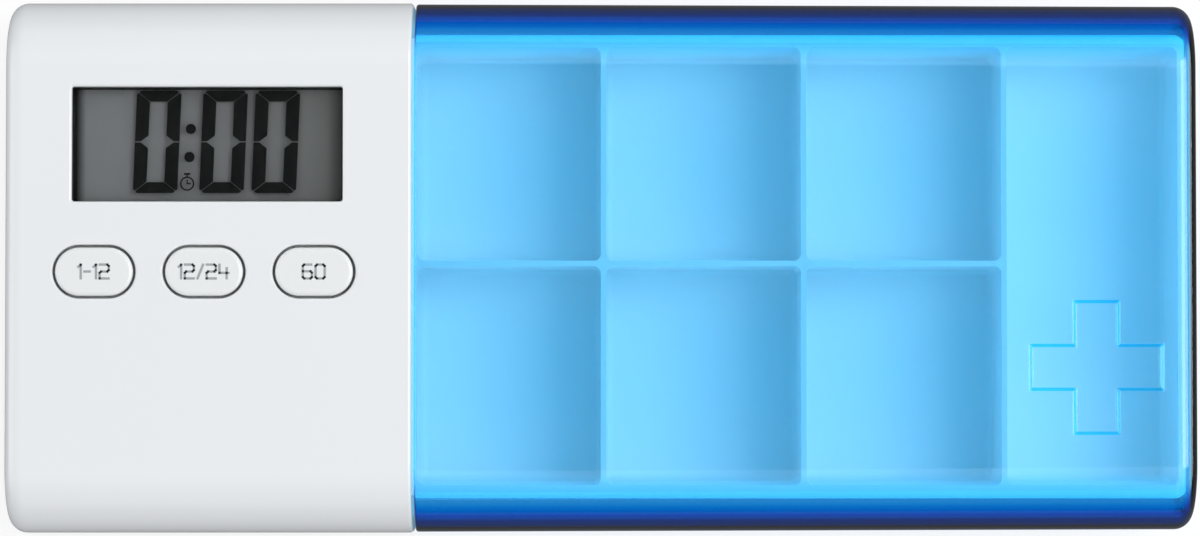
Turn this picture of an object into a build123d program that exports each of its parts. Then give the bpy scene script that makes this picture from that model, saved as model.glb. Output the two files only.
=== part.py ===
from build123d import *
import os

# An electronic pill organizer: a flat timer head, a tray of seven cells fixed to it, and a clear
# sleeve that slides off the tray. Sizes are in millimetres. The head is towards minus X, the
# closed end of the sleeve towards plus X, the display side up and the table at Z = 0.

# Outline shared by the head and the sleeve
case_length = 133.6
case_width = 60.0
case_height = 19.0
corner_radius = 7.5
end_round = 2.0
mouth_gap = 0.3

# Sleeve
sleeve_wall = 1.6
sleeve_end_wall = 1.1
sleeve_draft = 0.28
sleeve_set_in = 0.1
sleeve_inner_round = 0.5
sleeve_mouth_round = 0.3
cross_span = 15.1
cross_arm = 5.3
cross_depth = 0.4
cross_flank_angle = 45
cross_from_end = 11.4
cross_from_side = 18.6

# Head shells
head_wall = 1.8
head_rim_round = 0.4
parting_height = 9.5
lip_inset = 0.9
lip_height = 1.0
lip_clearance = 0.05
opening_round = 0.25

# Tray
tray_side_room = 4.25
tray_end_gap = 0.25
tray_floor_gap = 0.3
tray_rim_room = 1.4
tray_floor = 1.2
tray_side_wall = 1.3
tray_end_wall = 0.7
divider = 0.6
divider_off_middle = 0.3
cell_columns = 3
tall_cell_length = 19.19
first_cell_shorter = 1.38
tray_bottom_round = 3.5
tray_corner_round = 1.0
tray_rim_round = 0.5
cell_corner_round = 0.8
cell_floor_round = 0.8
runner_width = 1.2
runner_depth = 0.15
runner_spread = 30.0

# Tongue that carries the tray inside the head
tongue_length = 12.0
tongue_width = 24.0
tongue_thickness = 1.6
tongue_lift = 2.2
tongue_slot_clearance = 0.1
tongue_corner_round = 1.5
tray_screw_from_wall = 5.4
tray_screw_spread = 16.0
tray_post_radius = 2.2

# Display. The head is as long as its window and the margins at the window's two ends.
window_from_left = 7.63
window_from_rim = 7.77
window_from_side = 10.02
window_length = 30.2
window_width = 12.75
window_corner = 0.2
window_set_in = 0.35
window_fit = 0.08
lens_flange = 0.6
lens_flange_width = 1.2
gasket_thickness = 0.3
gasket_border = 0.8
glass_end_cover = 0.8
glass_side_cover = 1.0
glass_end_step = 0.2
glass_side_step = 0.4
glass_thickness = 1.7
film_thickness = 0.2
film_from_strips = 0.3
strip_height = 1.5
strip_width = 1.6
holder_wall = 0.6
holder_ledge = 0.7
holder_clearance = 0.1

# Buttons and the switches beneath them
button_names = ("hour", "mode", "minute")
button_pitch = 12.3
button_row_shift = -0.3
button_row_below_window = 7.93
button_length = 8.7
button_width = 5.4
button_gap = 0.3
button_rise = 0.2
button_crown_round = 0.45
button_flange = 0.7
button_flange_width = 0.8
button_seat_gap = 0.1
switch_side = 6.0
switch_height = 2.5
switch_floor = 0.5
switch_corner_round = 0.4
plunger_radius = 1.5
plunger_length = 2.0
plunger_gap = 0.3

# Circuit board
board_thickness = 1.2
board_side_room = 3.0
board_end_room = 0.8
board_notch_room = 0.4
board_corner_round = 1.5
slot_clearance = 0.1

# Parts under the board. Each place is counted from the middle of the window and of the case.
chip_place = (4.0, 11.2)
chip_radius = 5.0
chip_height = 1.6
crystal_place = (13.0, 7.3)
crystal_radius = 1.0
crystal_length = 6.0
crystal_round = 0.3
resistor_place = (-10.0, -4.2)
resistor_pitch = 3.5
resistor_count = 4
resistor_size = (1.6, 0.8, 0.5)
coil_place = (11.4, 17.0)
coil_radius = 2.6
coil_height = 4.0
coil_flange = 0.6
coil_groove = 0.5

# Screws
screw_clearance = 0.03
shell_screw_radius = 1.0
shell_screw_reach = 4.5
shell_screw_head_radius = 1.9
shell_screw_head_height = 1.2
shell_screw_sunk = 0.6
shell_screw_head_room = 0.25
shell_screw_tip_room = 0.5
shell_boss_radius = 2.0
shell_column_radius = 3.2
shell_column_from_tongue = 1.8
shell_screw_from_wall = 2.2
shell_screw_from_side = 10.5
small_screw_radius = 0.8
small_screw_head_radius = 1.5
small_screw_head_height = 1.1
small_screw_reach = 3.0
small_screw_tip_room = 0.3
small_boss_radius = 1.6
board_screw_spread = 24.0
board_screw_from_edge = 1.6
board_screw_row = 16.0
drive_slot = 0.5
drive_depth = 0.5

# Coin cell, its contacts and its door
cell_radius = 10.0
cell_thickness = 3.2
cell_lift = 2.2
cell_rim_round = 0.25
cell_groove = (1.2, 1.6, 0.15)
cup_clearance = 0.3
cup_wall = 1.0
cup_headroom = 0.8
cup_roof = 1.0
battery_before_window = 2.43
battery_from_middle = 10.5
battery_shelf = 3.2
bay_wall = 1.2
contact_thickness = 0.3
contact_width = 3.0
contact_finger = 5.0
contact_tip = 3.0
contact_rise = 1.3
contact_slot_rise = 1.0
door_length = 24.0
door_width = 23.0
door_thickness = 1.5
door_set_in = 0.1
door_gap = 0.25
door_rib_radius = 6.5
door_rib_width = 0.8
door_rib_gap = 0.05
door_free_margin = 1.2
hinge_radius = 1.0
hinge_opening = 0.5
trunnion_radius = 0.6
trunnion_length = 0.8
trunnion_clearance = 0.05
snap_bump = 0.15
snap_length = 4.0
nail_notch = (2.2, 7.0, 1.0)
nail_notch_round = 0.8
door_corner_round = 0.5

# Sounder
sounder_from_middle = 11.2
sounder_radius = 7.5
sounder_disc = 0.25
ceramic_radius = 5.0
ceramic_thickness = 0.2
sounder_ring_wall = 1.0
sounder_ring_height = 3.2
sounder_ledge = 0.9
sounder_ledge_height = 1.4
sounder_clearance = 0.2
seal_width = 0.8
seal_height = 0.8
sound_hole_radius = 0.6
sound_hole_circle = 3.0
lead_radius = 0.4
lead_bend = 1.2
lead_shift = 4.0

# Heights, from the table and from the ceiling of the head
ceiling = case_height - head_wall
flange_bottom = ceiling - lens_flange
glass_top = flange_bottom - gasket_thickness
glass_bottom = glass_top - glass_thickness
board_top = glass_bottom - strip_height
board_bottom = board_top - board_thickness
tray_bottom = sleeve_wall + tray_floor_gap
tray_rim = case_height - sleeve_wall - tray_rim_room
tray_floor_top = tray_bottom + tray_floor
tongue_bottom = head_wall + tongue_lift
tongue_top = tongue_bottom + tongue_thickness
cell_top = cell_lift + cell_thickness
cup_roof_bottom = cell_top + cup_headroom
cup_top = cup_roof_bottom + cup_roof
cap_flange_top = ceiling - button_seat_gap
cap_flange_bottom = cap_flange_top - button_flange
disc_bottom = head_wall + sounder_ledge_height
disc_top = disc_bottom + sounder_disc
hinge_height = door_set_in + hinge_radius

# Places along the length
head_left = -case_length / 2
window_x = head_left + window_from_left + window_length / 2
head_right = window_x + window_length / 2 + window_from_rim
sleeve_left = head_right + mouth_gap
sleeve_right = case_length / 2
inside_left = head_left + head_wall
inside_right = head_right - head_wall
board_left = inside_left + board_end_room
board_right = inside_right - board_end_room
battery_x = window_x - battery_before_window
hinge_x = battery_x - cell_radius - cup_clearance - door_free_margin + door_length
tray_screw_x = inside_right - tray_screw_from_wall

# The tray's length, shared out among its cells: the first column is the shorter one
tray_right = sleeve_right - sleeve_end_wall - tray_end_gap
tray_room = tray_right - head_right - 2 * tray_end_wall - cell_columns * divider
cell_length = (tray_room - tall_cell_length + first_cell_shorter) / cell_columns

# Places across the width
half_width = case_width / 2
inside_half = half_width - head_wall
tray_half = half_width - tray_side_room
board_half = inside_half - board_side_room
window_y = half_width - window_from_side - window_width / 2
button_y = window_y - window_width / 2 - button_row_below_window
battery_y = -battery_from_middle
door_low = battery_y - door_width / 2
door_high = battery_y + door_width / 2
shell_screw_front = half_width - shell_screw_from_side
shell_screw_rear = tongue_width / 2 + shell_column_from_tongue + shell_column_radius

# The glass of the display, a little larger than the window
glass_length = window_length + 2 * glass_end_cover
glass_width = window_width + 2 * glass_side_cover

button_places = [
    (name, window_x + button_row_shift + (index - 1) * button_pitch)
    for index, name in enumerate(button_names)
]
shell_screw_places = [
    (x, side * y)
    for x, y in (
        (inside_left + shell_screw_from_wall, shell_screw_front),
        (inside_right - shell_screw_from_wall, shell_screw_rear),
    )
    for side in (-1, 1)
]
board_screw_places = [
    (window_x + end * board_screw_spread / 2, y)
    for end in (-1, 1)
    for y in (board_half - board_screw_from_edge, -board_screw_row)
]
tray_screw_places = [(tray_screw_x, side * tray_screw_spread / 2) for side in (-1, 1)]


def slab(x_range, y_range, z_range):
    """A plain block between the given limits."""
    spans = (x_range, y_range, z_range)
    middle = [(low + high) / 2 for low, high in spans]
    return Pos(*middle) * Box(*[high - low for low, high in spans])


def rod(place, z_range, radius):
    """An upright cylinder at a place in plan."""
    low, high = z_range
    return Pos(place[0], place[1], (low + high) / 2) * Cylinder(radius, high - low)


def ring(place, z_range, outer, inner):
    """An upright tube at a place in plan."""
    return rod(place, z_range, outer) - rod(place, z_range, inner)


def plate(outline, place, z_range):
    """A flat outline drawn in plan and raised between two heights."""
    low, high = z_range
    return extrude(Pos(place[0], place[1], low) * outline, high - low)


def section(x, inset, narrowing=0.0):
    """The rounded cross-section of the case at x, drawn in by an inset on every side."""
    plane = Plane(origin=(x, 0, case_height / 2), x_dir=(0, 1, 0), z_dir=(1, 0, 0))
    width = case_width - 2 * (inset + narrowing)
    return plane * RectangleRounded(width, case_height - 2 * inset, corner_radius - inset)


def tube_core(x_range, inset):
    """A straight bar with the cross-section of the case."""
    low, high = x_range
    return extrude(section(low, inset), high - low)


def end_edges(shape, direction):
    """The edges of the flat end face that looks along plus or minus X."""
    faces = shape.faces().filter_by(Axis.X).sort_by(Axis.X)
    return (faces[-1] if direction > 0 else faces[0]).edges()


def hole_edges(face):
    """The edges of the holes in a face, without its own outline."""
    return [edge for wire in face.inner_wires() for edge in wire.edges()]


def window_outline(extra):
    """The window in plan, grown by an amount on every side."""
    corner = window_corner + max(extra, 0)
    return RectangleRounded(window_length + 2 * extra, window_width + 2 * extra, corner)


def button_outline(extra):
    """A button in plan, grown by an amount on every side."""
    return SlotOverall(button_length + 2 * extra, button_width + 2 * extra)


def drive_cross(place, z_range, radius):
    """The cross-shaped recess in a screw head."""
    x, y = place
    reach = radius * 0.6
    along = slab((x - reach, x + reach), (y - drive_slot / 2, y + drive_slot / 2), z_range)
    across = slab((x - drive_slot / 2, x + drive_slot / 2), (y - reach, y + reach), z_range)
    return along + across


def head_blank():
    """Both head shells as one hollow piece."""
    outer = tube_core((head_left, head_right), 0)
    outer = fillet(end_edges(outer, -1), end_round)
    outer = fillet(end_edges(outer, 1), head_rim_round)
    return outer - tube_core((inside_left, inside_right), head_wall)


def lip_band(slack):
    """The rim of the upper shell that reaches down inside the lower one, grown by a slack."""
    outer = lip_inset - slack
    band = tube_core((head_left + outer, head_right - outer), outer)
    inner = head_wall + slack
    band -= tube_core((head_left + inner, head_right - inner), inner)
    z_range = (parting_height - lip_height - 2 * slack, parting_height)
    return band & slab((head_left, head_right), (-half_width, half_width), z_range)


def upper_half():
    """All the room above the parting line."""
    z_range = (parting_height, case_height + 1)
    return slab((head_left - 1, head_right + 1), (-half_width - 1, half_width + 1), z_range)


def head_top_shell(blank):
    shell = (blank & upper_half()) + lip_band(0)
    through = (ceiling - 1, case_height + 1)
    shell -= plate(window_outline(window_fit), (window_x, window_y), through)
    for _, x in button_places:
        shell -= plate(button_outline(button_gap), (x, button_y), through)
    top_face = shell.faces().filter_by(Axis.Z).sort_by(Axis.Z)[-1]
    shell = fillet(hole_edges(top_face), opening_round)
    for place in shell_screw_places:
        shell += rod(place, (parting_height, ceiling + head_wall / 2), shell_boss_radius)
    for place in board_screw_places:
        shell += rod(place, (board_top, ceiling + head_wall / 2), small_boss_radius)
    shell &= tube_core((head_left, head_right), 0)
    for place in shell_screw_places:
        reach = parting_height + shell_screw_reach + shell_screw_tip_room
        shell -= rod(place, (parting_height - 1, reach), shell_screw_radius + screw_clearance)
    for place in board_screw_places:
        reach = board_top + small_screw_reach + small_screw_tip_room
        shell -= rod(place, (board_top - 1, reach), small_screw_radius + screw_clearance)
    return shell


def battery_bay():
    """Solid room of the battery bay: a thick shelf round the cell and a roofed cup on it."""
    shelf = slab(
        (hinge_x - door_length - bay_wall, hinge_x + hinge_radius + hinge_opening + bay_wall),
        (door_low - bay_wall, door_high + bay_wall),
        (head_wall / 2, battery_shelf),
    )
    cup_radius = cell_radius + cup_clearance + cup_wall
    return shelf + rod((battery_x, battery_y), (head_wall / 2, cup_top), cup_radius)


def battery_hollow():
    """Everything that is open in the battery bay."""
    centre = (battery_x, battery_y)
    hollow = rod(centre, (0, cup_roof_bottom), cell_radius + cup_clearance)
    free_edge = hinge_x - door_length
    y_range = (door_low - door_gap, door_high + door_gap)
    door_room = door_set_in + door_thickness + door_set_in
    hollow += slab((free_edge - door_gap, hinge_x), y_range, (-1, door_room))
    reach = hinge_radius + hinge_opening
    hollow += slab((hinge_x - reach, hinge_x + reach), y_range, (-1, hinge_height))
    barrel = Rot(90, 0, 0) * Cylinder(reach, y_range[1] - y_range[0])
    hollow += Pos(hinge_x, battery_y, hinge_height) * barrel
    socket = Rot(90, 0, 0) * Cylinder(
        trunnion_radius + trunnion_clearance, door_width + 2 * (trunnion_length + door_gap)
    )
    hollow += Pos(hinge_x, battery_y, hinge_height) * socket
    length, width, depth = nail_notch
    notch = slab(
        (free_edge - length, free_edge),
        (battery_y - width / 2, battery_y + width / 2),
        (-1, depth),
    )
    return hollow + fillet(notch.edges().filter_by(Axis.Z), nail_notch_round)


def contact_slot(x_range, y_range, z_range, clearance):
    """Room for a strip of contact metal, with a clearance on its four sides."""
    return slab(
        (x_range[0] - clearance, x_range[1] + clearance),
        (y_range[0] - clearance, y_range[1] + clearance),
        z_range,
    )


def contact_span():
    """The width of a contact strip across the length of the case."""
    return (battery_y - contact_width / 2, battery_y + contact_width / 2)


def negative_leg():
    """Where the leg of the finger contact stands, along the length."""
    return (battery_x + contact_finger, battery_x + contact_finger + contact_thickness)


def positive_leg():
    """Where the strip that touches the rim of the cell stands, along the length."""
    return (battery_x - cell_radius - contact_thickness, battery_x - cell_radius)


def sounder_place():
    return (battery_x, sounder_from_middle)


def head_bottom_shell(blank):
    shell = blank - upper_half()
    shell += battery_bay()
    seat = sounder_radius + sounder_clearance
    ring_top = head_wall + sounder_ring_height
    ring_outer = seat + sounder_ring_wall
    shell += ring(sounder_place(), (head_wall / 2, ring_top), ring_outer, seat)
    ledge_inner = seat - sounder_clearance - sounder_ledge
    shell += ring(sounder_place(), (head_wall / 2, disc_bottom), ring_outer, ledge_inner)
    for place in shell_screw_places:
        shell += rod(place, (head_wall / 2, parting_height), shell_column_radius)
    for place in tray_screw_places:
        shell += rod(place, (head_wall / 2, tongue_bottom), tray_post_radius)
    shell &= tube_core((head_left, head_right), 0)
    shell -= lip_band(lip_clearance)
    shell -= battery_hollow()
    for leg in (negative_leg(), positive_leg()):
        z_range = (cell_lift + contact_slot_rise, cup_top + 1)
        shell -= contact_slot(leg, contact_span(), z_range, 2 * slot_clearance)
    half = tongue_width / 2 + tongue_slot_clearance
    z_range = (tongue_bottom - tongue_slot_clearance, tongue_top + tongue_slot_clearance)
    shell -= slab((inside_right - 1, head_right + 1), (-half, half), z_range)
    for place in shell_screw_places:
        sunk = shell_screw_sunk + shell_screw_head_height
        shell -= rod(place, (-1, sunk), shell_screw_head_radius + shell_screw_head_room)
        shell -= rod(place, (0, parting_height + 1), shell_screw_radius + screw_clearance)
    for place in tray_screw_places:
        z_range = (tongue_top - small_screw_reach - tongue_thickness, tongue_bottom + 1)
        shell -= rod(place, z_range, small_screw_radius + screw_clearance)
    x, y = sounder_place()
    holes = [(x, y)] + [
        (x + spot.X, y + spot.Y)
        for spot in [Vector(sound_hole_circle, 0).rotate(Axis.Z, 60 * n) for n in range(6)]
    ]
    for place in holes:
        shell -= rod(place, (-1, head_wall + 0.5), sound_hole_radius)
    return shell


def display_window():
    place = (window_x, window_y)
    lens = plate(window_outline(0), place, (ceiling, case_height - window_set_in))
    return lens + plate(window_outline(lens_flange_width), place, (flange_bottom, ceiling))


def display_gasket():
    place = (window_x, window_y)
    z_range = (glass_top, flange_bottom)
    outer = Rectangle(glass_length, glass_width)
    inner = Rectangle(glass_length - 2 * gasket_border, glass_width - 2 * gasket_border)
    return plate(outer, place, z_range) - plate(inner, place, z_range)


def display_panel():
    """The liquid crystal cell: two glass plates, the rear one a little wider."""
    place = (window_x, window_y)
    middle = (glass_top + glass_bottom) / 2
    front = Rectangle(glass_length - 2 * glass_end_step, glass_width - 2 * glass_side_step)
    return plate(Rectangle(glass_length, glass_width), place, (glass_bottom, middle)) + plate(
        front, place, (middle, glass_top)
    )


def display_rear_film():
    place = (window_x, window_y)
    outline = Rectangle(
        glass_length - 2 * (holder_ledge + holder_clearance),
        glass_width - 2 * (strip_width + film_from_strips),
    )
    return plate(outline, place, (glass_bottom - film_thickness, glass_bottom))


def display_holder():
    place = (window_x, window_y)
    grow = 2 * holder_clearance
    wall = 2 * holder_wall
    z_range = (board_top, glass_top)
    frame = plate(Rectangle(glass_length + grow + wall, glass_width + grow + wall), place, z_range)
    pocket = Rectangle(glass_length + grow, glass_width + grow)
    frame -= plate(pocket, place, (glass_bottom, glass_top + 1))
    room = Rectangle(glass_length - 2 * holder_ledge, glass_width + grow)
    return frame - plate(room, place, (board_top - 1, glass_top))


def display_connector_strips():
    offset = (glass_width - strip_width) / 2
    length = glass_length - 2 * (holder_ledge + holder_clearance)
    outline = Rectangle(length, strip_width)
    return [
        plate(outline, (window_x, window_y + side * offset), (board_top, glass_bottom))
        for side in (-1, 1)
    ]


def circuit_board():
    board = slab((board_left, board_right), (-board_half, board_half), (board_bottom, board_top))
    board = fillet(board.edges().filter_by(Axis.Z), board_corner_round)
    through = (board_bottom - 1, board_top + 1)
    for place in shell_screw_places:
        board -= rod(place, through, shell_boss_radius + board_notch_room)
    for place in board_screw_places:
        board -= rod(place, through, small_screw_radius + slot_clearance)
    for leg in (negative_leg(), positive_leg()):
        board -= contact_slot(leg, contact_span(), through, slot_clearance)
    return board


def on_board(place):
    """A place under the board that was counted from the middle of the window and of the case."""
    return (window_x + place[0], place[1])


def chip_blob():
    """A dome of potting resin under the board."""
    radius = (chip_radius**2 + chip_height**2) / (2 * chip_height)
    centre = board_bottom - chip_height + radius
    place = on_board(chip_place)
    ball = Pos(*place, centre) * Sphere(radius)
    return ball & rod(place, (centre - radius - 1, board_bottom), radius)


def crystal_can():
    barrel = Cylinder(crystal_radius, crystal_length)
    barrel = fillet(barrel.edges().filter_by(GeomType.CIRCLE), crystal_round)
    return Pos(*on_board(crystal_place), board_bottom - crystal_radius) * Rot(0, 90, 0) * barrel


def chip_resistors():
    length, width, height = resistor_size
    x, y = on_board(resistor_place)
    return [
        Pos(x + resistor_pitch * step, y, board_bottom - height / 2) * Box(width, length, height)
        for step in range(resistor_count)
    ]


def coil_inductor():
    place = on_board(coil_place)
    spool = rod(place, (board_bottom - coil_height, board_bottom), coil_radius)
    z_range = (board_bottom - coil_height + coil_flange, board_bottom - coil_flange)
    return spool - ring(place, z_range, coil_radius + 1, coil_radius - coil_groove)


def switch_housing(x):
    z_range = (board_top, board_top + switch_height)
    body = plate(Rectangle(switch_side, switch_side), (x, button_y), z_range)
    body = fillet(body.edges().filter_by(Axis.Z), switch_corner_round)
    bore = (board_top + switch_floor, board_top + switch_height + 1)
    return body - rod((x, button_y), bore, plunger_radius + plunger_gap)


def switch_plunger(x):
    z_range = (cap_flange_bottom - plunger_length, cap_flange_bottom)
    return rod((x, button_y), z_range, plunger_radius)


def button_cap(x):
    place = (x, button_y)
    cap = plate(button_outline(0), place, (cap_flange_top, case_height + button_rise))
    cap = fillet(cap.faces().sort_by(Axis.Z)[-1].edges(), button_crown_round)
    z_range = (cap_flange_bottom, cap_flange_top)
    return cap + plate(button_outline(button_flange_width), place, z_range)


def small_screws(places, seat, rising):
    """Screws whose heads bear on a seat height, with the shank rising or falling from it."""
    screws = []
    for place in places:
        way = 1 if rising else -1
        tip = seat + way * (small_screw_reach + board_thickness)
        head = seat - way * small_screw_head_height
        slot = head + way * drive_depth
        screw = rod(place, (min(seat, tip), max(seat, tip)), small_screw_radius)
        screw += rod(place, (min(seat, head), max(seat, head)), small_screw_head_radius)
        z_range = (min(head, slot), max(head, slot))
        screws.append(screw - drive_cross(place, z_range, small_screw_head_radius))
    return screws


def board_screws():
    return small_screws(board_screw_places, board_bottom, True)


def tray_screws():
    return small_screws(tray_screw_places, tongue_top, False)


def shell_screws():
    screws = []
    seat = shell_screw_sunk + shell_screw_head_height
    for place in shell_screw_places:
        screw = rod(place, (seat, parting_height + shell_screw_reach), shell_screw_radius)
        screw += rod(place, (shell_screw_sunk, seat), shell_screw_head_radius)
        z_range = (shell_screw_sunk, shell_screw_sunk + drive_depth)
        screws.append(screw - drive_cross(place, z_range, shell_screw_head_radius))
    return screws


def battery_cell():
    place = (battery_x, battery_y)
    can = rod(place, (cell_lift, cell_top), cell_radius)
    can = fillet(can.edges().filter_by(GeomType.CIRCLE), cell_rim_round)
    start, stop, depth = cell_groove
    return can - ring(place, (cell_top - depth, cell_top), cell_radius - start, cell_radius - stop)


def battery_contact_negative():
    """A finger on the middle of the cell with a leg up through the board."""
    leg = negative_leg()
    span = contact_span()
    reach = (battery_x - contact_tip, leg[1])
    finger = slab(reach, span, (cell_top, cell_top + contact_thickness))
    return finger + slab(leg, span, (cell_top, board_top))


def battery_contact_positive():
    """A strip against the rim of the cell that runs up through the board."""
    return slab(positive_leg(), contact_span(), (cell_lift + contact_rise, board_top))


def sounder_element():
    return rod(sounder_place(), (disc_bottom, disc_top), sounder_radius)


def sounder_ceramic():
    return rod(sounder_place(), (disc_top, disc_top + ceramic_thickness), ceramic_radius)


def sounder_seal():
    inner = sounder_radius - seal_width
    return ring(sounder_place(), (disc_top, disc_top + seal_height), sounder_radius, inner)


def sounder_leads():
    """Two insulated wires, one from the brass and one from the ceramic, up to the board."""
    x, y = sounder_place()
    bend = board_bottom - lead_shift
    brass_foot = (-(ceramic_radius + sounder_radius - seal_width) / 2, 0.0, disc_top)
    ceramic_foot = (0.0, -ceramic_radius / 2, disc_top + ceramic_thickness)
    leads = []
    for along, across, foot in (brass_foot, ceramic_foot):
        points = [
            (x + along, y + across, foot),
            (x + along, y + across, bend),
            (x + along - lead_shift, y + across, bend),
            (x + along - lead_shift, y + across, board_bottom),
        ]
        path = FilletPolyline(*points, radius=lead_bend)
        profile = Plane(origin=points[0], z_dir=(0, 0, 1)) * Circle(lead_radius)
        leads.append(sweep(profile, path))
    return leads


def tray_cells():
    """The limits in plan of the six small cells and of the tall one at the closed end."""
    columns = []
    left = head_right + tray_end_wall
    for step in range(cell_columns):
        right = left + cell_length - (first_cell_shorter if step == 0 else 0)
        columns.append((left, right))
        left = right + divider
    inner = tray_half - tray_side_wall
    low, high = divider_off_middle - divider / 2, divider_off_middle + divider / 2
    rows = ((-inner, low), (high, inner))
    cells = [(column, row) for column in columns for row in rows]
    return cells + [((left, tray_right - tray_end_wall), (-inner, inner))]


def cell_hollow(x_range, y_range):
    """A cell with rounded corners and a rounded floor, open at the rim."""
    hollow = slab(x_range, y_range, (tray_floor_top, tray_rim + 5))
    hollow = fillet(hollow.edges().filter_by(Axis.Z), cell_corner_round)
    return fillet(hollow.faces().sort_by(Axis.Z)[0].edges(), cell_floor_round)


def pill_tray():
    tray = slab((head_right, tray_right), (-tray_half, tray_half), (tray_bottom, tray_rim))
    low_long_edges = tray.faces().sort_by(Axis.Z)[0].edges().filter_by(Axis.X)
    tray = fillet(low_long_edges, tray_bottom_round)
    tray = fillet(tray.faces().filter_by(Axis.X).sort_by(Axis.X)[-1].edges(), tray_corner_round)
    rim_edges = tray.faces().filter_by(Axis.Z).sort_by(Axis.Z)[-1].edges().filter_by(Axis.X)
    tray = fillet(rim_edges, tray_rim_round)
    for x_range, y_range in tray_cells():
        tray -= cell_hollow(x_range, y_range)
    for side in (-1, 1):
        middle = side * runner_spread / 2
        tray += slab(
            (head_right, tray_right - 2 * tray_corner_round),
            (middle - runner_width / 2, middle + runner_width / 2),
            (tray_bottom - runner_depth, tray_floor_top - tray_floor / 2),
        )
    half = tongue_width / 2
    tongue = slab((head_right - tongue_length, head_right), (-half, half), (tongue_bottom, tongue_top))
    tongue = fillet(tongue.edges().filter_by(Axis.Z).sort_by(Axis.X)[:2], tongue_corner_round)
    tray += tongue
    for place in tray_screw_places:
        tray -= rod(place, (tongue_bottom - 1, tongue_top + 1), small_screw_radius + slot_clearance)
    return tray


def battery_door():
    free_edge = hinge_x - door_length
    top = door_set_in + door_thickness
    door = slab((free_edge, hinge_x), (door_low, door_high), (door_set_in, top))
    corners = door.edges().filter_by(Axis.Z).sort_by(Axis.X)[:2]
    door = fillet(corners, door_corner_round)
    door += Pos(hinge_x, battery_y, hinge_height) * Rot(90, 0, 0) * Cylinder(
        hinge_radius, door_width
    )
    door += Pos(hinge_x, battery_y, hinge_height) * Rot(90, 0, 0) * Cylinder(
        trunnion_radius, door_width + 2 * trunnion_length
    )
    rib = (top - 0.1, cell_lift - door_rib_gap)
    outer = door_rib_radius
    door += ring((battery_x, battery_y), rib, outer, outer - door_rib_width)
    bump = Rot(90, 0, 0) * Cylinder(snap_bump, snap_length)
    return door + Pos(free_edge, battery_y, hinge_height) * bump


def cross_outline():
    return Rectangle(cross_span, cross_arm) + Rectangle(cross_arm, cross_span)


def sleeve():
    """A closed-end tube, a little narrower towards its closed end so that it leaves its mould."""
    mouth = section(sleeve_left, 0, sleeve_set_in)
    closed = section(sleeve_right, 0, sleeve_set_in + sleeve_draft)
    outer = loft([mouth, closed], ruled=True)
    outer = fillet(end_edges(outer, 1), end_round)
    outer = fillet(end_edges(outer, -1), sleeve_mouth_round)
    bottom = section(sleeve_right - sleeve_end_wall, sleeve_wall, sleeve_set_in + sleeve_draft)
    hollow = loft([section(sleeve_left - 1, sleeve_wall, sleeve_set_in), bottom], ruled=True)
    hollow = fillet(end_edges(hollow, 1), sleeve_inner_round)
    place = (sleeve_right - cross_from_end, cross_from_side - half_width, case_height)
    recess = extrude(
        Pos(*place) * cross_outline(), cross_depth, dir=(0, 0, -1), taper=cross_flank_angle
    )
    return outer - hollow - recess


def all_pieces():
    """Every piece by its node name. A list holds alike pieces that share a node."""
    blank = head_blank()
    pieces = {
        "head_top_shell": head_top_shell(blank),
        "head_bottom_shell": head_bottom_shell(blank),
        "display_window": display_window(),
        "display_gasket": display_gasket(),
        "display_panel": display_panel(),
        "display_rear_film": display_rear_film(),
        "display_holder": display_holder(),
        "display_connector_strips": display_connector_strips(),
        "circuit_board": circuit_board(),
        "chip_blob": chip_blob(),
        "crystal_can": crystal_can(),
        "chip_resistors": chip_resistors(),
        "coil_inductor": coil_inductor(),
        "board_screws": board_screws(),
        "shell_screws": shell_screws(),
        "tray_screws": tray_screws(),
        "battery_cell": battery_cell(),
        "battery_contact_negative": battery_contact_negative(),
        "battery_contact_positive": battery_contact_positive(),
        "sounder_disc": sounder_element(),
        "sounder_ceramic": sounder_ceramic(),
        "sounder_seal": sounder_seal(),
        "sounder_leads": sounder_leads(),
        "pill_tray": pill_tray(),
        "battery_door": battery_door(),
        "sleeve": sleeve(),
    }
    for name, x in button_places:
        pieces["switch_housing_" + name] = switch_housing(x)
        pieces["switch_plunger_" + name] = switch_plunger(x)
        pieces["button_" + name] = button_cap(x)
    return pieces


os.makedirs("parts", exist_ok=True)
for node, shape in all_pieces().items():
    alike = shape if isinstance(shape, list) else [shape]
    solids = [solid for piece in alike for solid in piece.solids()]
    whole = solids[0] if len(solids) == 1 else Compound(solids)
    export_step(whole, "parts/" + node + ".step")
    print(node, len(solids), "solid(s)")
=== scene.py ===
"""Looks of an electronic pill organizer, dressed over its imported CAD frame.

Lengths in the classes are millimetres and become metres when a mesh is made. Those of the lamps and the
studio are metres. +X runs from the display head to the closed end of the sleeve, +Y across the face, +Z out
of the face, and the table is at Z = 0.
"""
import logging
import math
from dataclasses import dataclass, field
from enum import Enum

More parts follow.
